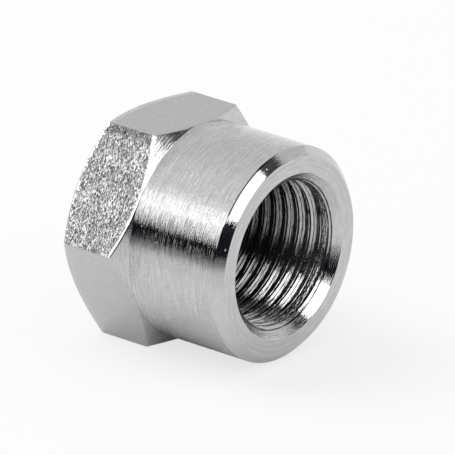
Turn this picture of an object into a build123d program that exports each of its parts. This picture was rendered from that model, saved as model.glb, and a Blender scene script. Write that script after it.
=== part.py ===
from build123d import *
import math
import os

# Threaded protection cap: one piece, turned and tapped from hexagon bar.
# It lies on one flat of its hexagon.  The bore's axis is along X and the mouth looks to +X.
# The origin is on the floor, below the middle of the cap's length.

# Driving dimensions, in millimetres and degrees
ACROSS_FLATS = 19.0            # hexagon bar, for a 19 mm spanner
CAP_LENGTH = 16.7              # closed end face to mouth face
HEAD_LENGTH = 7.0              # closed end face to where the round body begins
BODY_DIAMETER = 18.9           # turned just under the flats, so that the bar cleans up all round
END_FACE_DIAMETER = 18.0       # flat circle that the chamfer leaves on the closed end
HEXAGON_CHAMFER_ANGLE = 30.0   # at both ends of the hexagon, from the plane across the axis
MOUTH_CHAMFER = 0.75           # 45 degrees, round the outside of the mouth

# Internal thread M14 x 1.25.  The bore is made at its minor diameter.
THREAD_DIAMETER = 14.0
THREAD_PITCH = 1.25
COUNTERSINK_DIAMETER = THREAD_DIAMETER + 0.5
COUNTERSINK_ANGLE = 90.0
BORE_DEPTH = 11.0              # full-diameter depth, from the mouth face
DRILL_POINT_ANGLE = 118.0

# Values worked out from them
FLAT_DISTANCE = ACROSS_FLATS / 2
CORNER_DISTANCE = FLAT_DISTANCE / math.cos(math.radians(30))
CHAMFER_SLOPE = math.tan(math.radians(HEXAGON_CHAMFER_ANGLE))
MINOR_DIAMETER = THREAD_DIAMETER - 1.0825 * THREAD_PITCH
COUNTERSINK_SLOPE = math.tan(math.radians(COUNTERSINK_ANGLE / 2))
COUNTERSINK_DEPTH = (COUNTERSINK_DIAMETER - MINOR_DIAMETER) / 2 / COUNTERSINK_SLOPE
DRILL_POINT_DEPTH = MINOR_DIAMETER / 2 / math.tan(math.radians(DRILL_POINT_ANGLE / 2))

# How far the turning tools run past the work
OVERRUN = 1.0


def turned(*outline):
    """A solid of revolution about Z, from an outline of (radius, height) points."""
    section = make_face(Polyline(*[(radius, 0, height) for radius, height in outline], close=True))
    return revolve(section, Axis.Z)


def hexagon_bar():
    """The bar that the cap is cut from, closed end at height 0, with two flats facing X."""
    section = RegularPolygon(FLAT_DISTANCE, side_count=6, major_radius=False, rotation=30)
    return extrude(section, CAP_LENGTH)


def lathe_envelope():
    """What turning leaves: end face, both hexagon chamfers, round body and mouth chamfer.

    The two cones meet the bar's flats in the curved edges at each end of the hexagon.
    """
    end_radius = END_FACE_DIAMETER / 2
    body_radius = BODY_DIAMETER / 2
    outer_radius = CORNER_DISTANCE + OVERRUN
    return turned(
        (0, 0),
        (end_radius, 0),
        (outer_radius, (outer_radius - end_radius) * CHAMFER_SLOPE),
        (outer_radius, HEAD_LENGTH - (outer_radius - body_radius) * CHAMFER_SLOPE),
        (body_radius, HEAD_LENGTH),
        (body_radius, CAP_LENGTH - MOUTH_CHAMFER),
        (body_radius - MOUTH_CHAMFER, CAP_LENGTH),
        (0, CAP_LENGTH),
    )


def blind_bore():
    """Countersink, tapped bore and the drill's point, cut from the mouth."""
    bore_radius = MINOR_DIAMETER / 2
    bore_floor = CAP_LENGTH - BORE_DEPTH
    return turned(
        (0, CAP_LENGTH + OVERRUN),
        (COUNTERSINK_DIAMETER / 2 + OVERRUN * COUNTERSINK_SLOPE, CAP_LENGTH + OVERRUN),
        (bore_radius, CAP_LENGTH - COUNTERSINK_DEPTH),
        (bore_radius, bore_floor),
        (0, bore_floor - DRILL_POINT_DEPTH),
    )


def protection_cap():
    """The finished cap, laid down on a flat with its mouth to +X."""
    upright = (hexagon_bar() & lathe_envelope()) - blind_bore()
    lying = Pos(-CAP_LENGTH / 2, 0, FLAT_DISTANCE) * Rot(0, 90, 0)
    return lying * upright


os.makedirs("parts", exist_ok=True)
cap = protection_cap()
cap.label = "protection_cap"
export_step(cap, "parts/protection_cap.step")
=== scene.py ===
import math

import bmesh
import bpy
from mathutils import Matrix, Vector


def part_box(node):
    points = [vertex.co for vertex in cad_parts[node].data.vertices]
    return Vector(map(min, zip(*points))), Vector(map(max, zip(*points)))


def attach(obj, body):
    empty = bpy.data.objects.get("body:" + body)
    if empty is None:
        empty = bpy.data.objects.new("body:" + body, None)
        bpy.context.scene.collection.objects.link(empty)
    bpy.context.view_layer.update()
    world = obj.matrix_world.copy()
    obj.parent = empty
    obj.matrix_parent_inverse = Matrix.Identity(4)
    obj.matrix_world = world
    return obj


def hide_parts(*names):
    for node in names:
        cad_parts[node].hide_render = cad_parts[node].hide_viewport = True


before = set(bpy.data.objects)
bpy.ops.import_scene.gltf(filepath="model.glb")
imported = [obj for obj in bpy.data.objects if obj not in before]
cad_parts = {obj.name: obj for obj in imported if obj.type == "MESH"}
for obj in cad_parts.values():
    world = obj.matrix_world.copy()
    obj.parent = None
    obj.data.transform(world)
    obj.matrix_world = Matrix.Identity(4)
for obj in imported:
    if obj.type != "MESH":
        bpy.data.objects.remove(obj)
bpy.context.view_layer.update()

# ---------------------------------------------------------------- dimensions, in metres and degrees
MM = 0.001
NODE = "protection_cap"

low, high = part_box(NODE)
ACROSS_FLATS = high.z - low.z
CLOSED_X = low.x                         # closed end face
MOUTH_X = high.x                         # mouth face
AXIS_Z = (low.z + high.z) / 2            # the bore's axis runs along X at this height

HEAD_LENGTH = 7.0 * MM                   # from the closed end to the foot of the shoulder
BODY_RADIUS = 18.9 * MM / 2
END_FACE_RADIUS = 18.0 * MM / 2
HEXAGON_CHAMFER_ANGLE = 30.0
MOUTH_CHAMFER = 0.75 * MM
COUNTERSINK_RADIUS = 14.5 * MM / 2       # at the mouth face, 45 degrees from the axis

# M14 x 1.25 internal thread, right-hand
THREAD_DIAMETER = 14.0 * MM
THREAD_PITCH = 1.25 * MM
MINOR_RADIUS = (THREAD_DIAMETER - 1.0825 * THREAD_PITCH) / 2  # as the standard has it
BORE_DEPTH = 11.0 * MM
DRILL_POINT_ANGLE = 118.0
FULL_THREAD_DEPTH = 9.0 * MM             # complete threads end here
THREAD_END_DEPTH = 10.2 * MM             # and the last trace of the tap here

# The thread's form as the picture shows it, shallower than the standard's
THREAD_HEIGHT = 0.31 * MM
THREAD_FLANK_ANGLE = 50.5                # from the axis
THREAD_ROOT = 0.22 * MM                  # width of the flat at the bottom of the groove
THREAD_LEDGE = 0.09 * MM                 # a step half way down the flank that faces the mouth
THREAD_SEAM = 0.028 * MM                 # depth of the seam that the tap leaves along each crest
THREAD_SEAM_START = 0.19 * MM            # where the seam lies on the crest
THREAD_SEAM_END = 0.27 * MM
WORN_DEPTH = 1.60 * MM                   # nearer the mouth than this the thread is worn down
WORN_SHARE = 0.35                        # to this share of its height
THREAD_START = 0.109                     # how far round the bore the thread begins, in turns

# Broken edges, each the radius of its rounding
CHAMFER_EDGE = 0.08 * MM
CORNER_EDGE = 0.10 * MM                  # the hexagon's own six corners
BACK_EDGE = 0.45 * MM                    # where the flats meet the closed end's chamfer
FRONT_EDGE = 0.24 * MM                   # where the flats meet the shoulder
SHOULDER_FILLET = 0.15 * MM              # left by the turning tool's nose

CHAMFER_SLOPE = math.tan(math.radians(HEXAGON_CHAMFER_ANGLE))
FLAT_DISTANCE = ACROSS_FLATS / 2
CORNER_CENTRE = (FLAT_DISTANCE - CORNER_EDGE) / math.cos(math.radians(30))
CORNER_TANGENT = math.atan2(CORNER_EDGE / 2, CORNER_CENTRE + CORNER_EDGE * math.cos(math.radians(30)))

# The mesh
COLUMNS_PER_FLAT = 36
FILLET_STEPS = 4
SUPPORT = 0.05 * MM                      # from an edge to the loop that keeps its shading crisp
EDGE_ROOM = 0.42                         # share of a short side that a rounding takes at most
SUPPORT_ROOM = 1.1                       # and its support point lies at most this many times as far
END_FACE_LOOP = 0.5 * END_FACE_RADIUS    # a loop that keeps the closed end's long faces flat
COUNTERSINK_TOP_X = MOUTH_X - 0.30 * MM  # from here down the bore's own rows take over
SHARP_ANGLE = 25.0                       # edges that turn more than this are shaded sharp
MERGE_DISTANCE = 2e-7                    # points closer than this become one


# ---------------------------------------------------------------- the cap's mesh
def column_angles():
    """Angles about the axis from straight up, one for each column of the mesh."""
    columns = 6 * COLUMNS_PER_FLAT
    angles = [2 * math.pi * i / columns for i in range(columns)]
    offsets = [CORNER_TANGENT / 3, CORNER_TANGENT * 2 / 3, CORNER_TANGENT]
    offsets.append(CORNER_TANGENT + SUPPORT / FLAT_DISTANCE)
    for corner in range(6):
        middle = math.radians(30 + 60 * corner)
        for offset in offsets:
            angles += [middle - offset, middle + offset]
    return sorted(angles)


def hexagon_radius(angle):
    """Distance from the axis to the bar's surface, with its corners rounded."""
    from_corner = (angle % math.radians(60)) - math.radians(30)
    if abs(from_corner) < CORNER_TANGENT:
        across = CORNER_CENTRE * math.sin(from_corner)
        return CORNER_CENTRE * math.cos(from_corner) + math.sqrt(CORNER_EDGE ** 2 - across ** 2)
    return FLAT_DISTANCE / math.cos(math.radians(30) - abs(from_corner))


def rounded(points, radii):
    """The (x, r) points with each inner corner replaced by an arc and a support point either side of it."""
    corners = [Vector(p) for p in points]
    result = [corners[0]]
    for before, here, after, radius in zip(corners, corners[1:], corners[2:], radii):
        back = before - here
        on = after - here
        half_angle = back.angle(on) / 2
        room = EDGE_ROOM * min(back.length, on.length)
        setback = min(radius / math.tan(half_angle), room)
        reach = min(setback + SUPPORT, room * SUPPORT_ROOM)
        back.normalize()
        on.normalize()
        centre = here + (back + on).normalized() * setback / math.cos(half_angle)
        start = here + back * setback - centre
        sweep = start.angle_signed(here + on * setback - centre)
        result.append(here + back * reach)
        for step in range(FILLET_STEPS + 1):
            result.append(centre + Matrix.Rotation(-sweep * step / FILLET_STEPS, 2) @ start)
        result.append(here + on * reach)
    result.append(corners[-1])
    return result


def countersink_radius(x):
    return COUNTERSINK_RADIUS - (MOUTH_X - x)


def outside_column(angle):
    """(x, r) points at an angle, from the closed end's middle, over the outside, into the countersink."""
    bar = hexagon_radius(angle)
    points = [
        (CLOSED_X, END_FACE_LOOP),
        (CLOSED_X, END_FACE_RADIUS),
        (CLOSED_X + (bar - END_FACE_RADIUS) * CHAMFER_SLOPE, bar),
        (CLOSED_X + HEAD_LENGTH - (bar - BODY_RADIUS) * CHAMFER_SLOPE, bar),
        (CLOSED_X + HEAD_LENGTH, BODY_RADIUS),
        (MOUTH_X - MOUTH_CHAMFER, BODY_RADIUS),
        (MOUTH_X, BODY_RADIUS - MOUTH_CHAMFER),
        (MOUTH_X, COUNTERSINK_RADIUS),
        (COUNTERSINK_TOP_X, countersink_radius(COUNTERSINK_TOP_X)),
    ]
    hexagon_edges = [CHAMFER_EDGE, BACK_EDGE, FRONT_EDGE, SHOULDER_FILLET]
    mouth_edges = [CHAMFER_EDGE] * 3
    return [Vector((CLOSED_X, 0.0))] + rounded(points, hexagon_edges + mouth_edges)


def thread_profile():
    """One pitch of the thread, from crest to crest: (distance into the bore, height over the crest)."""
    flank = THREAD_HEIGHT / math.tan(math.radians(THREAD_FLANK_ANGLE))
    seam_bottom = (THREAD_SEAM_START + THREAD_SEAM_END) / 2
    root_end = THREAD_PITCH - flank - THREAD_LEDGE
    root_start = root_end - THREAD_ROOT
    return [
        (0.0, 0.0),
        (THREAD_SEAM_START, 0.0),
        (seam_bottom, THREAD_SEAM),
        (THREAD_SEAM_END, 0.0),
        (root_start - flank, 0.0),
        (root_start, THREAD_HEIGHT),
        (root_end, THREAD_HEIGHT),
        (root_end + flank / 2, THREAD_HEIGHT / 2),
        (root_end + flank / 2 + THREAD_LEDGE, THREAD_HEIGHT / 2),
    ]


def thread_share(x):
    """The share of the thread's height there is at x: less on its worn first turn and where the tap ends."""
    depth = MOUTH_X - x
    left = (THREAD_END_DEPTH - depth) / (THREAD_END_DEPTH - FULL_THREAD_DEPTH)
    worn = WORN_SHARE if depth < WORN_DEPTH else 1.0
    return max(0.0, min(worn, left))


def bore_column(angle):
    """(x, r) points down the bore at an angle, as many at every angle, so that each row is a helix."""
    turn = angle / (2 * math.pi) + THREAD_START
    floor_x = MOUTH_X - BORE_DEPTH
    column = []
    clearance = []                       # how far the tapped surface lies outside the countersink
    for pitch in range(math.ceil(BORE_DEPTH / THREAD_PITCH) + 3):
        for along, height in thread_profile():
            x = MOUTH_X + THREAD_PITCH * (2 + turn - pitch) - along
            x = max(floor_x, min(COUNTERSINK_TOP_X, x))
            tapped = MINOR_RADIUS + height * thread_share(x)
            column.append(Vector((x, max(tapped, countersink_radius(x)))))
            clearance.append(tapped - countersink_radius(x))

    # Where the thread cuts the countersink, the nearer point moves onto the cut.
    for i in range(len(column) - 1):
        if clearance[i] * clearance[i + 1] < 0 and column[i].x > column[i + 1].x:
            split = clearance[i] / (clearance[i] - clearance[i + 1])
            x = column[i].x + (column[i + 1].x - column[i].x) * split
            column[i if split < 0.5 else i + 1] = Vector((x, countersink_radius(x)))
    tip_x = floor_x - MINOR_RADIUS / math.tan(math.radians(DRILL_POINT_ANGLE / 2))
    return column + [Vector((floor_x, MINOR_RADIUS)), Vector((tip_x, 0.0))]


def row_zones(rows, zones):
    """The zone number of each row of faces. A new zone starts half way round each corner."""
    per_corner = FILLET_STEPS + 3            # the points of an arc and its two support points
    first = 2 + per_corner // 2              # two plain points come before the first corner
    return [min(max(0, (row - first) // per_corner), zones - 1) for row in range(rows)]


def cap_piece(materials):
    """The whole cap as one closed mesh, its columns joined round the axis, with a material for each zone."""
    mesh = bmesh.new()
    columns = []
    for angle in column_angles():
        column = outside_column(angle) + bore_column(angle)
        sine, cosine = math.sin(angle), math.cos(angle)
        columns.append([mesh.verts.new((x, -r * sine, AXIS_Z + r * cosine)) for x, r in column])
    zones = row_zones(len(columns[0]) - 1, len(materials))
    for left, right in zip(columns, columns[1:] + columns[:1]):
        for row, zone in enumerate(zones):
            face = mesh.faces.new((left[row], left[row + 1], right[row + 1], right[row]))
            face.material_index = zone
            face.smooth = True
    bmesh.ops.remove_doubles(mesh, verts=mesh.verts, dist=MERGE_DISTANCE)
    bmesh.ops.recalc_face_normals(mesh, faces=mesh.faces)
    cap = piece_of(mesh, "cap", materials)
    cap.data.set_sharp_from_angle(angle=math.radians(SHARP_ANGLE))
    return cap


def piece_of(mesh, name, materials):
    """An object in the scene made of a bmesh, which is freed."""
    data = bpy.data.meshes.new(name)
    mesh.to_mesh(data)
    mesh.free()
    for material in materials:
        data.materials.append(material)
    piece = bpy.data.objects.new(name, data)
    bpy.context.scene.collection.objects.link(piece)
    return piece


# ---------------------------------------------------------------- shader nodes
def node(tree, kind, values=None, **settings):
    """Adds a node. A value that is a socket is linked to the input, and any other value is set on it."""
    added = tree.nodes.new(kind)
    for name, value in settings.items():
        setattr(added, name, value)
    for name, value in (values or {}).items():
        if isinstance(value, bpy.types.NodeSocket):
            tree.links.new(value, added.inputs[name])
        else:
            added.inputs[name].default_value = value
    return added


def calculate(tree, operation, *values):
    return node(tree, "ShaderNodeMath", dict(enumerate(values)), operation=operation).outputs[0]


def calculate_vector(tree, operation, *values):
    """A vector, or a number where the operation gives one."""
    result = "Value" if operation in ("DOT_PRODUCT", "LENGTH") else "Vector"
    return node(tree, "ShaderNodeVectorMath", dict(enumerate(values)), operation=operation).outputs[result]


def scaled(tree, vector, factor):
    return node(tree, "ShaderNodeVectorMath", {0: vector, "Scale": factor}, operation="SCALE").outputs[0]


def remap(tree, value, from_low, from_high, to_low=0.0, to_high=1.0):
    values = {"Value": value, 1: from_low, 2: from_high, 3: to_low, 4: to_high}
    return node(tree, "ShaderNodeMapRange", values).outputs[0]


def mixed(tree, share, first, second):
    """The first colour where share is 0 and the second where it is 1."""
    return node(tree, "ShaderNodeMix", {"Factor": share, 6: first, 7: second}, data_type="RGBA").outputs[2]


def object_place(tree):
    return node(tree, "ShaderNodeTexCoord").outputs["Object"]


def noise(tree, place, size, detail=1.0, w=None):
    """Noise with marks of about one size, mostly from 0.3 to 0.7; w is a fourth coordinate."""
    values = {"Vector": place, "Scale": 1 / size, "Detail": detail}
    if w is None:
        return node(tree, "ShaderNodeTexNoise", values).outputs["Fac"]
    return node(tree, "ShaderNodeTexNoise", {**values, "W": w}, noise_dimensions="4D").outputs["Fac"]


def bump(tree, height, distance, normal=None):
    values = {"Strength": 1.0, "Distance": distance, "Height": height}
    if normal is not None:
        values["Normal"] = normal
    return node(tree, "ShaderNodeBump", values).outputs[0]


def axis_position(tree):
    """The point's place measured from the bore's axis: the vector (x, y, z), its radius and its direction."""
    centred = calculate_vector(tree, "SUBTRACT", object_place(tree), (0.0, 0.0, AXIS_Z))
    across = calculate_vector(tree, "MULTIPLY", centred, (0.0, 1.0, 1.0))
    return centred, calculate_vector(tree, "LENGTH", across), calculate_vector(tree, "NORMALIZE", across)


# ---------------------------------------------------------------- materials
STEEL = (0.545, 0.546, 0.550, 1.0)
BAR_STEEL = (0.510, 0.511, 0.515, 1.0)   # the flats, as the bar was drawn
DEEP_BORE_PAINTED_SHADE = (0.160, 0.161, 0.166, 1.0)  # painted shade: the steel darker deeper into the bore
BORE_BOTTOM_PAINTED_SHADE = (0.080, 0.080, 0.085, 1.0)  # and darker still toward the bottom of the blind bore

# Turned surfaces
MOTTLE_SIZE = 0.20 * MM                  # soft lighter and darker patches
GRAIN_SIZE = 0.12 * MM
GRAIN_DEPTH = 0.004 * MM
PIT_SPACING = 0.9 * MM
PIT_SIZE = 0.09 * MM
PIT_DEPTH = 0.02 * MM
TORN_SPACING = 0.12 * MM                 # tool marks on the thread's torn first turn
TORN_DEPTH = 0.08 * MM

# Rings cut in, and an arc of painted dark reflection on the mouth chamfer
RING_FLOOR = 0.03 * MM                   # half the width of a ring's flat bottom
RING_EDGE = 0.10 * MM                    # and of the whole ring
RING_DEPTH = 0.012 * MM
ALL_ROUND = -1.1                         # a reach under any cosine, so that a ring has no ends
LIP_X = MOUTH_X - 0.68 * MM              # a line on the countersink, just outside the thread
LIP_SHADE = 0.12
LIP_EDGE = (-0.08 * MM, -0.015 * MM, 0.03 * MM)  # raggedness, start and end, as are the bands below

# Depths from the mouth between which the bore changes
TORN_TURN = (0.8 * MM, 1.9 * MM)
# Painted shade darkens the bore between the next two pairs of depths, and near the bottom it also grows
# rougher
DARKENING_DEPTHS = (3.0 * MM, 6.8 * MM)
BOTTOM_DEPTHS = (8.8 * MM, 10.4 * MM)

# The flats, one of which is scuffed
SCUFFED_SIDE = (0.0, -math.cos(math.radians(30)), math.sin(math.radians(30)))  # the way it faces
TOP_Z = AXIS_Z + FLAT_DISTANCE           # height of its upper edge
# A darker band under the scuffed side's upper edge: raggedness, start and end
TOP_DARK_BAND = (0.9 * MM, TOP_Z - 0.45 * MM, TOP_Z - 0.20 * MM)
# Bands along the scuffed side's back and front edges, where the scuffs stop and a highlight is painted:
# raggedness, start and end
BACK_BAND = (1.4 * MM, 0.90 * MM, 1.06 * MM)
FRONT_BAND = (0.4 * MM, 0.38 * MM, 0.50 * MM)
ROLLED_EDGE = (0.22 * MM, 0.62 * MM)     # from the closed end's chamfer, where the flats roll over
ROLLED_DEPTH = 0.06 * MM
WAVE_SIZE = 1.2 * MM
WAVE_DEPTH = 0.40 * MM
FLATS_MOTTLE_SIZE = 0.25 * MM
RAGGED_SIZE = 0.35 * MM                  # of the bends in the borders between scuffed and bright
WANDER_SIZE = 0.45 * MM
WANDER = 0.35 * MM                       # how far the strokes wander
LEFT_STROKES = (-24, 0.070 * MM, 0.30 * MM)  # turn in degrees, width and length
RIGHT_STROKES = (17, 0.070 * MM, 0.34 * MM)
LONG_STROKES = (6, 0.10 * MM, 1.1 * MM)
STROKE_DEPTH = 0.025 * MM
FACET_SIZE = 0.078 * MM
PLAIN_TILT = 0.07                        # of the facets on the plain flats
SCUFFED_TILT = 0.66


def metal(name, anisotropy=0.0, rotation=0.0):
    """A material with a metal shader and its tree, ready for colour, roughness and normal."""
    material = bpy.data.materials.new(name)
    material.use_nodes = True
    tree = material.node_tree
    shader = tree.nodes["Principled BSDF"]
    shader.inputs["Metallic"].default_value = 1.0
    shader.inputs["Anisotropic"].default_value = anisotropy
    shader.inputs["Anisotropic Rotation"].default_value = rotation
    return material, tree, shader


def tint(tree, shader, colour, marks, mottle, contrast, shade=1.0):
    """Gives the colour, made lighter and darker by marks, by a mottle and by a shade."""
    both = calculate(tree, "MULTIPLY_ADD", marks, 0.6, calculate(tree, "MULTIPLY", mottle, 0.4))
    factor = calculate(tree, "MULTIPLY", remap(tree, both, 0.35, 0.65, 1 - contrast, 1 + contrast), shade)
    tree.links.new(scaled(tree, colour, factor), shader.inputs["Base Color"])


def ragged_step(tree, distance, ragged, raggedness, start, end, near=1.0, far=0.0):
    """One value near and another far, with a border from start to end that a noise moves in and out.

    The noise times the raggedness is added to the distance.
    """
    moved = calculate(tree, "MULTIPLY_ADD", ragged, raggedness, distance)
    return remap(tree, moved, start, end, near, far)


def tool_marks(tree, spacing, arc):
    """Fine rings round the axis: noise that changes over spacing along the surface and over an arc."""
    centred, radius, direction = axis_position(tree)
    along = calculate_vector(tree, "MULTIPLY", centred, (1 / spacing, 0.0, 0.0))
    around = calculate_vector(tree, "MULTIPLY", direction, (0.0, 1 / arc, 1 / arc))
    place = calculate_vector(tree, "ADD", along, around)
    return noise(tree, place, 1.0, w=calculate(tree, "DIVIDE", radius, spacing))


def pits(tree, place, spacing, size):
    """Scattered small dents: 1 over most of the surface and 0 in the middle of each dent."""
    cells = node(tree, "ShaderNodeTexVoronoi", {"Vector": place, "Scale": 1 / spacing}).outputs["Distance"]
    return remap(tree, cells, 0.0, size / spacing)


def ring_and_painted_reflection(tree, normal, ring_radius, ring_shade, angle=0, reach=ALL_ROUND):
    """The normal and the shade with a ring cut in, or an arc of one about an angle, whose dark shade is a
    painted reflection.

    The arc ends where the cosine of the angle from its middle falls to reach.
    """
    _, radius, direction = axis_position(tree)
    middle = (0.0, -math.sin(math.radians(angle)), math.cos(math.radians(angle)))
    facing = calculate_vector(tree, "DOT_PRODUCT", direction, middle)
    within = remap(tree, facing, reach, reach + 0.04)
    across = calculate(tree, "ABSOLUTE", calculate(tree, "SUBTRACT", radius, ring_radius))
    groove = remap(tree, across, RING_FLOOR, RING_EDGE, -1.0, 0.0)
    height = calculate(tree, "MULTIPLY_ADD", groove, within, 1.0)
    return bump(tree, height, RING_DEPTH, normal), remap(tree, height, 0.0, 1.0, ring_shade, 1.0)


def torn_start(tree, normal, x):
    """The normal with the thread's first turn torn, and the shade with the line round the countersink."""
    torn = tool_marks(tree, TORN_SPACING, 0.08)
    across_turn = remap(tree, x, MOUTH_X - TORN_TURN[1], MOUTH_X - TORN_TURN[0], 0.0, 2.0)
    first_turn = calculate(tree, "PINGPONG", across_turn, 1.0)
    normal = bump(tree, calculate(tree, "MULTIPLY", torn, first_turn), TORN_DEPTH, normal)
    from_lip = calculate(tree, "ABSOLUTE", calculate(tree, "SUBTRACT", x, LIP_X))
    return normal, ragged_step(tree, from_lip, torn, *LIP_EDGE, LIP_SHADE, 1.0)


def turned_material(name, spacing, depth, roughness, contrast, arc=0.14, bore=False, rings=()):
    """Steel off the lathe: rough across its tool marks and smooth along them.

    The marks have a spacing and a depth, and arc is how far round one goes, in radians.
    """
    material, tree, shader = metal(name, anisotropy=0.5, rotation=0.25)
    place = object_place(tree)
    fine_marks = tool_marks(tree, spacing, arc)
    broad_marks = tool_marks(tree, 3 * spacing, 3 * arc)
    mottle = noise(tree, place, MOTTLE_SIZE, detail=3.0)
    grain = noise(tree, place, GRAIN_SIZE)
    normal = bump(tree, calculate(tree, "MULTIPLY_ADD", broad_marks, 0.5, fine_marks), depth)
    normal = bump(tree, grain, GRAIN_DEPTH, normal)
    normal = bump(tree, pits(tree, place, PIT_SPACING, PIT_SIZE), PIT_DEPTH, normal)
    roughness = remap(tree, broad_marks, 0.3, 0.7, roughness * 0.7, roughness * 1.3)
    colour = STEEL[:3]
    shade = 1.0
    # A ring's shade is the mark's own colour on the face, and a painted dark reflection on the mouth chamfer
    for ring in rings:
        normal, ring_shade = ring_and_painted_reflection(tree, normal, *ring)
        shade = calculate(tree, "MULTIPLY", shade, ring_shade)
    if bore:
        # Painted shade: the colour darkens deeper into the bore and more toward its bottom, where it also
        # grows rougher
        x = node(tree, "ShaderNodeSeparateXYZ", {0: place}).outputs[0]
        deeper_shade = remap(tree, x, MOUTH_X - DARKENING_DEPTHS[0], MOUTH_X - DARKENING_DEPTHS[1])
        near_bore_bottom = remap(tree, x, MOUTH_X - BOTTOM_DEPTHS[0], MOUTH_X - BOTTOM_DEPTHS[1])
        colour = mixed(tree, near_bore_bottom, mixed(tree, deeper_shade, STEEL, DEEP_BORE_PAINTED_SHADE), BORE_BOTTOM_PAINTED_SHADE)
        roughness = calculate(tree, "MULTIPLY_ADD", near_bore_bottom, 0.4, roughness)
        normal, shade = torn_start(tree, normal, x)
    tint(tree, shader, colour, fine_marks, mottle, contrast, shade)
    tangent = node(tree, "ShaderNodeTangent", direction_type="RADIAL", axis="X").outputs[0]
    tree.links.new(roughness, shader.inputs["Roughness"])
    tree.links.new(normal, shader.inputs["Normal"])
    tree.links.new(tangent, shader.inputs["Tangent"])
    return material


def strokes(tree, place, facing, turn, width, length):
    """Noise drawn out into short strokes across the bar, turned by an angle in the plane of the flat."""
    values = {"Vector": place, "Axis": facing, "Angle": math.radians(turn)}
    turned = node(tree, "ShaderNodeVectorRotate", values).outputs[0]
    drawn = calculate_vector(tree, "MULTIPLY", turned, (1.0, width / length, width / length))
    return noise(tree, drawn, width)


def tilted_facets(tree, place, facing, size, amount):
    """The normal tilted another way on each of many small facets, which are drawn out across the bar."""
    drawn = calculate_vector(tree, "MULTIPLY", place, (1.0, 0.45, 0.45))
    cells = node(tree, "ShaderNodeTexVoronoi", {"Vector": drawn, "Scale": 1 / size}).outputs["Color"]
    tilt = scaled(tree, calculate_vector(tree, "SUBTRACT", cells, (0.5, 0.5, 0.5)), amount)
    return calculate_vector(tree, "NORMALIZE", calculate_vector(tree, "ADD", tilt, facing))


def edge_distances(tree):
    """How far a point of a flat lies, along X, from the closed end's chamfer and from the shoulder."""
    centred, radius, _ = axis_position(tree)
    x = node(tree, "ShaderNodeSeparateXYZ", {0: centred}).outputs[0]
    end_offset = CLOSED_X - END_FACE_RADIUS * CHAMFER_SLOPE
    shoulder_offset = CLOSED_X + HEAD_LENGTH + BODY_RADIUS * CHAMFER_SLOPE
    chamfer_x = calculate(tree, "MULTIPLY_ADD", radius, CHAMFER_SLOPE, end_offset)
    shoulder_x = calculate(tree, "MULTIPLY_ADD", radius, -CHAMFER_SLOPE, shoulder_offset)
    return calculate(tree, "SUBTRACT", x, chamfer_x), calculate(tree, "SUBTRACT", shoulder_x, x)


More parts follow.
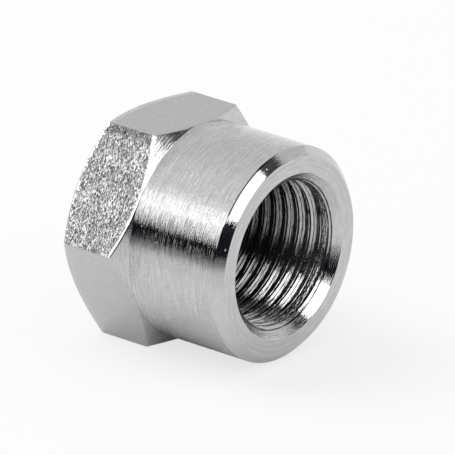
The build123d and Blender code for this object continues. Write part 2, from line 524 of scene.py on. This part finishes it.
def flats_material():
    """The bar's own drawn surface. One side of it is scuffed all over, with painted glints and shade in the
    scuffs' colour, and a painted highlight along that side's edges.
    """
    material, tree, shader = metal("hexagon_flats")
    place = object_place(tree)
    facing = node(tree, "ShaderNodeNewGeometry").outputs["Normal"]
    waves = noise(tree, place, WAVE_SIZE, detail=2.0)
    mottle = noise(tree, place, FLATS_MOTTLE_SIZE, detail=2.0)
    ragged = noise(tree, place, RAGGED_SIZE, detail=2.0)

    # Where it is scuffed and where its edges get a painted highlight: 0 to 1
    side = calculate_vector(tree, "DOT_PRODUCT", facing, SCUFFED_SIDE)
    from_chamfer, from_shoulder = edge_distances(tree)
    back_band = ragged_step(tree, from_chamfer, ragged, *BACK_BAND)
    front_band = ragged_step(tree, from_shoulder, ragged, *FRONT_BAND)
    bands = calculate(tree, "MAXIMUM", back_band, front_band)
    scuffed = calculate(tree, "SUBTRACT", remap(tree, side, 0.80, 0.95), bands)
    scuffed = calculate(tree, "MAXIMUM", scuffed, 0.0)
    painted_highlight = calculate(tree, "MULTIPLY", bands, remap(tree, side, 0.55, 0.65))

    # The scuffs: two crossed sets of short strokes, their sum stretched about 0.5, and a few long ones, which
    # only lighten the colour as painted glints
    wander = node(tree, "ShaderNodeTexNoise", {"Vector": place, "Scale": 1 / WANDER_SIZE}).outputs["Color"]
    warp = calculate_vector(tree, "MULTIPLY_ADD", wander, (WANDER, WANDER, WANDER), place)
    left = strokes(tree, warp, facing, *LEFT_STROKES)
    right = strokes(tree, warp, facing, *RIGHT_STROKES)
    crossed = calculate(tree, "MULTIPLY_ADD", calculate(tree, "ADD", left, right), 1.66, -1.16)
    long_painted_glints = remap(tree, strokes(tree, warp, facing, *LONG_STROKES), 0.70, 0.76)

    # The surface's shape: small tilted facets, the strokes, waves and the rolled edge
    tilt = remap(tree, scuffed, 0.0, 1.0, PLAIN_TILT, SCUFFED_TILT)
    grain = calculate(tree, "MULTIPLY", crossed, remap(tree, scuffed, 0.0, 1.0, 0.18, 1.0))
    normal = tilted_facets(tree, warp, facing, FACET_SIZE, tilt)
    normal = bump(tree, grain, STROKE_DEPTH, normal)
    normal = bump(tree, calculate(tree, "MULTIPLY", waves, tilt), WAVE_DEPTH, normal)
    normal = bump(tree, remap(tree, from_chamfer, *ROLLED_EDGE), ROLLED_DEPTH, normal)

    # How light it is: waves, the strokes with their painted glints and shade, a darker band under the upper
    # edge and the painted highlight in the edge bands
    height = node(tree, "ShaderNodeSeparateXYZ", {0: place}).outputs[2]
    darker_under_top = ragged_step(tree, height, ragged, *TOP_DARK_BAND, 1.0, 0.55)
    patches = calculate(tree, "MULTIPLY", remap(tree, waves, 0.35, 0.65, 0.72, 1.22), darker_under_top)
    # The scuffed side's colour: the crossed strokes lighten and darken it, partly as painted glints and
    # shade, and the long ones add painted glints
    worn = calculate(tree, "MULTIPLY", remap(tree, crossed, 0.22, 0.78, 0.22, 1.64), patches)
    worn = calculate(tree, "ADD", worn, calculate(tree, "MULTIPLY", long_painted_glints, scuffed))
    # Painted highlight: in the edge bands the plain colour is made up to 1.85 times as light
    plain = calculate(tree, "MULTIPLY_ADD", painted_highlight, 0.85, 1.0)
    shade = remap(tree, scuffed, 0.0, 1.0, plain, worn)
    tint(tree, shader, BAR_STEEL[:3], mottle, mottle, 0.05, shade)
    tree.links.new(remap(tree, waves, 0.3, 0.7, 0.10, 0.20), shader.inputs["Roughness"])
    tree.links.new(normal, shader.inputs["Normal"])
    return material


# ---------------------------------------------------------------- studio
CENTRE = Vector((0.0, 0.0, AXIS_Z))
WHITE = (1.0, 1.0, 1.0, 1.0)
FLOOR_WHITE = (0.93, 0.93, 0.93, 1.0)
BLACK_CARD = (0.014, 0.015, 0.018, 1.0)
DARK_GREY_CARD = (0.075, 0.075, 0.08, 1.0)
PALE_GREY_CARD = (0.83, 0.83, 0.83, 1.0)
SHADE_NEAR = (0.90, 0.90, 0.90, 1.0)
SHADE_FAR = (0.25, 0.25, 0.26, 1.0)
CARD_STEPS = 16
SHADE_STEPS = 24

# The camera: a long lens, a little above the cap and toward its mouth. Its lengths are in millimetres.
FOCAL_LENGTH = 690.7
SENSOR_WIDTH = 36.0
CAMERA_TARGET = Vector((0.92, 0.915, 9.91))
CAMERA_TOWARD = (-51.93, 20.38)          # azimuth and elevation
CAMERA_DISTANCE = 737.75
CAMERA_ROLL = 2.30


def direction_to(azimuth, elevation):
    """The unit vector at an azimuth, from +X toward +Y, and an elevation, both in degrees."""
    azimuth, elevation = math.radians(azimuth), math.radians(elevation)
    flat = math.cos(elevation)
    return Vector((flat * math.cos(azimuth), flat * math.sin(azimuth), math.sin(elevation)))


def spread(ends, steps):
    """Numbers from the first end to the second, in equal steps."""
    return [ends[0] + (ends[1] - ends[0]) * i / steps for i in range(steps + 1)]


def aim(item, place, target, roll=0.0):
    """Puts an item at place with its -Z axis toward target, turned by roll about that axis."""
    turn = (target - place).to_track_quat("-Z", "Y").to_matrix().to_4x4()
    item.matrix_world = Matrix.Translation(place) @ turn @ Matrix.Rotation(math.radians(roll), 4, "Z")


def looked_at(tree):
    """1 where the camera, metal or glass looks at a thing, and 0 where the thing lights others."""
    path = node(tree, "ShaderNodeLightPath")
    seen = calculate(tree, "MAXIMUM", path.outputs["Is Camera Ray"], path.outputs["Is Glossy Ray"])
    return calculate(tree, "MAXIMUM", seen, path.outputs["Is Transmission Ray"])


def flat_material(name, colour):
    material = bpy.data.materials.new(name)
    material.use_nodes = True
    shader = material.node_tree.nodes["Principled BSDF"]
    shader.inputs["Base Color"].default_value = colour
    shader.inputs["Roughness"].default_value = 1.0
    shader.inputs["Specular IOR Level"].default_value = 0.0
    return material


def from_middle(tree, near, far):
    """0 nearer than near to the point under the cap's middle, and 1 farther than far."""
    return remap(tree, calculate_vector(tree, "LENGTH", object_place(tree)), near, far)


def white_world(seen_level, lit_level):
    """A white surround, of one level where it is looked at and another where it lights things."""
    world = bpy.data.worlds.new("studio")
    bpy.context.scene.world = world
    world.use_nodes = True
    tree = world.node_tree
    strength = remap(tree, looked_at(tree), 0.0, 1.0, lit_level, seen_level)
    tree.links.new(strength, tree.nodes["Background"].inputs["Strength"])
    tree.nodes["Background"].inputs["Color"].default_value = WHITE


def floor_material(white_share):
    """A white floor: a share of it is plain white where it is looked at, and the rest keeps shadows."""
    material = flat_material("floor_white", FLOOR_WHITE)
    tree = material.node_tree
    white = node(tree, "ShaderNodeEmission", {"Color": WHITE, "Strength": 1.0})
    reflected = calculate(tree, "MULTIPLY", looked_at(tree), from_middle(tree, 4 * MM, 18 * MM))
    camera_ray = node(tree, "ShaderNodeLightPath").outputs["Is Camera Ray"]
    share = calculate(tree, "MULTIPLY", calculate(tree, "MAXIMUM", camera_ray, reflected), white_share)
    shaders = {0: share, 1: tree.nodes["Principled BSDF"].outputs[0], 2: white.outputs[0]}
    mix = node(tree, "ShaderNodeMixShader", shaders)
    tree.links.new(mix.outputs[0], tree.nodes["Material Output"].inputs["Surface"])
    return material


def floor_piece(size, white_share):
    half = size / 2
    mesh = bmesh.new()
    corners = [(-half, -half, 0.0), (half, -half, 0.0), (half, half, 0.0), (-half, half, 0.0)]
    mesh.faces.new([mesh.verts.new(corner) for corner in corners])
    piece_of(mesh, "floor", [floor_material(white_share)])


def reflected_strip(name, rows, material):
    """A surface through rows of points, which only metal sees."""
    mesh = bmesh.new()
    points = [[mesh.verts.new(point) for point in row] for row in rows]
    for left, right in zip(points, points[1:]):
        for i in range(len(left) - 1):
            mesh.faces.new((left[i], left[i + 1], right[i + 1], right[i]))
    strip = piece_of(mesh, name, [material])
    strip.visible_camera = False
    strip.visible_diffuse = False
    strip.visible_shadow = False


def card(name, material, azimuths, bottom, tops, distance):
    """A curved card about the object between two azimuths. Its bottom and tops are elevations."""
    rows = []
    for azimuth, top in zip(spread(azimuths, CARD_STEPS), spread(tops, CARD_STEPS)):
        out = direction_to(azimuth, 0.0) * distance
        heights = [AXIS_Z + distance * math.tan(math.radians(elevation)) for elevation in (bottom, top)]
        rows.append([(out.x, out.y, max(0.0, height)) for height in heights])
    reflected_strip(name, rows, material)


def floor_shade(azimuths, radii):
    """A film on the floor between two azimuths, pale near the cap and darker farther out."""
    material = flat_material("floor_shade", SHADE_NEAR)
    tree = material.node_tree
    colour = mixed(tree, from_middle(tree, 42 * MM, 100 * MM), SHADE_NEAR, SHADE_FAR)
    tree.links.new(colour, tree.nodes["Principled BSDF"].inputs["Base Color"])
    rows = []
    for azimuth in spread(azimuths, SHADE_STEPS):
        out = direction_to(azimuth, 0.0)
        rows.append([(out.x * radius, out.y * radius, 0.1 * MM) for radius in radii])
    reflected_strip("floor_shade", rows, material)


def softbox(name, shape, level, toward, size, distance=0.45, reflected=True, lights=True):
    """A lamp toward an azimuth and elevation, whose face adds level times the white backdrop's light.

    Its width and height are the angles it covers, in degrees.
    """
    lamp = bpy.data.lights.new(name, "AREA")
    lamp.shape = shape
    lamp.size, lamp.size_y = (2 * distance * math.tan(math.radians(angle / 2)) for angle in size)
    area = lamp.size * lamp.size_y * (math.pi / 4 if shape == "ELLIPSE" else 1.0)
    lamp.energy = level * math.pi * area
    item = bpy.data.objects.new(name, lamp)
    item.visible_camera = False
    item.visible_glossy = reflected
    item.visible_diffuse = lights
    bpy.context.scene.collection.objects.link(item)
    aim(item, CENTRE + direction_to(*toward) * distance, CENTRE)


def camera():
    lens = bpy.data.cameras.new("camera")
    lens.sensor_width = SENSOR_WIDTH
    lens.lens = FOCAL_LENGTH
    lens.clip_start = 0.01
    lens.clip_end = 20.0
    item = bpy.data.objects.new("camera", lens)
    bpy.context.scene.collection.objects.link(item)
    bpy.context.scene.camera = item
    target = CAMERA_TARGET * MM
    aim(item, target + direction_to(*CAMERA_TOWARD) * CAMERA_DISTANCE * MM, target, CAMERA_ROLL)


# ---------------------------------------------------------------- scene
def cap_materials():
    """One material for each zone of the cap, from the closed end over the outside into the bore."""
    face_rings = [(7.90 * MM, 0.92), (8.32 * MM, 0.90)]  # radius and shade
    # Painted dark reflection along the chamfer's upper edge, with a groove's bump under it
    painted_reflection_arc = [(9.39 * MM, 0.04, 37, math.cos(math.radians(23)))]  # and its middle and reach
    return [
        turned_material("turned_end", spacing=0.13 * MM, depth=0.020 * MM, roughness=0.18, contrast=0.12),
        flats_material(),
        turned_material("turned_shoulder", spacing=0.06 * MM, depth=0.030 * MM, roughness=0.12,
                        contrast=0.14),
        turned_material("turned_body", spacing=0.075 * MM, depth=0.054 * MM, roughness=0.055, contrast=0.18,
                        arc=0.22),
        turned_material("turned_chamfer", spacing=0.08 * MM, depth=0.012 * MM, roughness=0.08, contrast=0.08,
                        rings=painted_reflection_arc),
        turned_material("turned_face", spacing=0.10 * MM, depth=0.006 * MM, roughness=0.16, contrast=0.10,
                        rings=face_rings),
        turned_material("tapped_bore", spacing=0.07 * MM, depth=0.036 * MM, roughness=0.085, contrast=0.10,
                        bore=True),
    ]


def lamps():
    """Lamps that the metal reflects, and one overhead that it doesn't, for the light on the floor."""
    softbox("key", "ELLIPSE", level=1.60, toward=(-131, 22), size=(7.5, 18))
    softbox("key_halo", "ELLIPSE", level=0.10, toward=(-140, 26), size=(34, 34), distance=0.50)
    softbox("rim", "ELLIPSE", level=1.0, toward=(-160, 16), size=(36, 22), lights=False)
    softbox("left_strip", "RECTANGLE", level=1.2, toward=(-96, 38), size=(40, 15), lights=False)
    softbox("right_softbox", "RECTANGLE", level=2.3, toward=(-12, 44), size=(52, 42), lights=False)
    softbox("right_strip", "RECTANGLE", level=0.90, toward=(-1, 18), size=(32, 12))
    softbox("overhead", "RECTANGLE", level=2.70, toward=(-155, 52), size=(36, 36), distance=0.60,
            reflected=False)


def cards():
    """Black and grey cards that give the metal its dark bands and edges."""
    black = flat_material("black_card", BLACK_CARD)
    dark_grey = flat_material("dark_grey_card", DARK_GREY_CARD)
    pale_grey = flat_material("pale_grey_card", PALE_GREY_CARD)
    card("front_card", black, azimuths=(-70, -27), bottom=-1, tops=(26, 26), distance=0.12)
    card("side_card", black, azimuths=(-27, 5), bottom=-1, tops=(26, 11), distance=0.12)
    card("left_card", black, azimuths=(-172, -66), bottom=-1, tops=(13, 13), distance=0.12)
    card("gap_card", dark_grey, azimuths=(20, 48), bottom=13, tops=(62, 62), distance=0.14)
    card("gap_foot_card", dark_grey, azimuths=(14, 21), bottom=13, tops=(42, 42), distance=0.139)
    card("right_back_card", pale_grey, azimuths=(48, 100), bottom=22, tops=(58, 58), distance=0.40)
    card("left_back_card", pale_grey, azimuths=(100, 175), bottom=12, tops=(58, 58), distance=0.40)


cap = cap_piece(cap_materials())
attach(cap, "root")
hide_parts(NODE)

floor_piece(size=6.0, white_share=0.72)
floor_shade(azimuths=(-155, 8), radii=(30 * MM, 100 * MM, 400 * MM))
white_world(seen_level=1.0, lit_level=0.74)
lamps()
cards()
camera()
bpy.context.scene.view_settings.view_transform = "Standard"
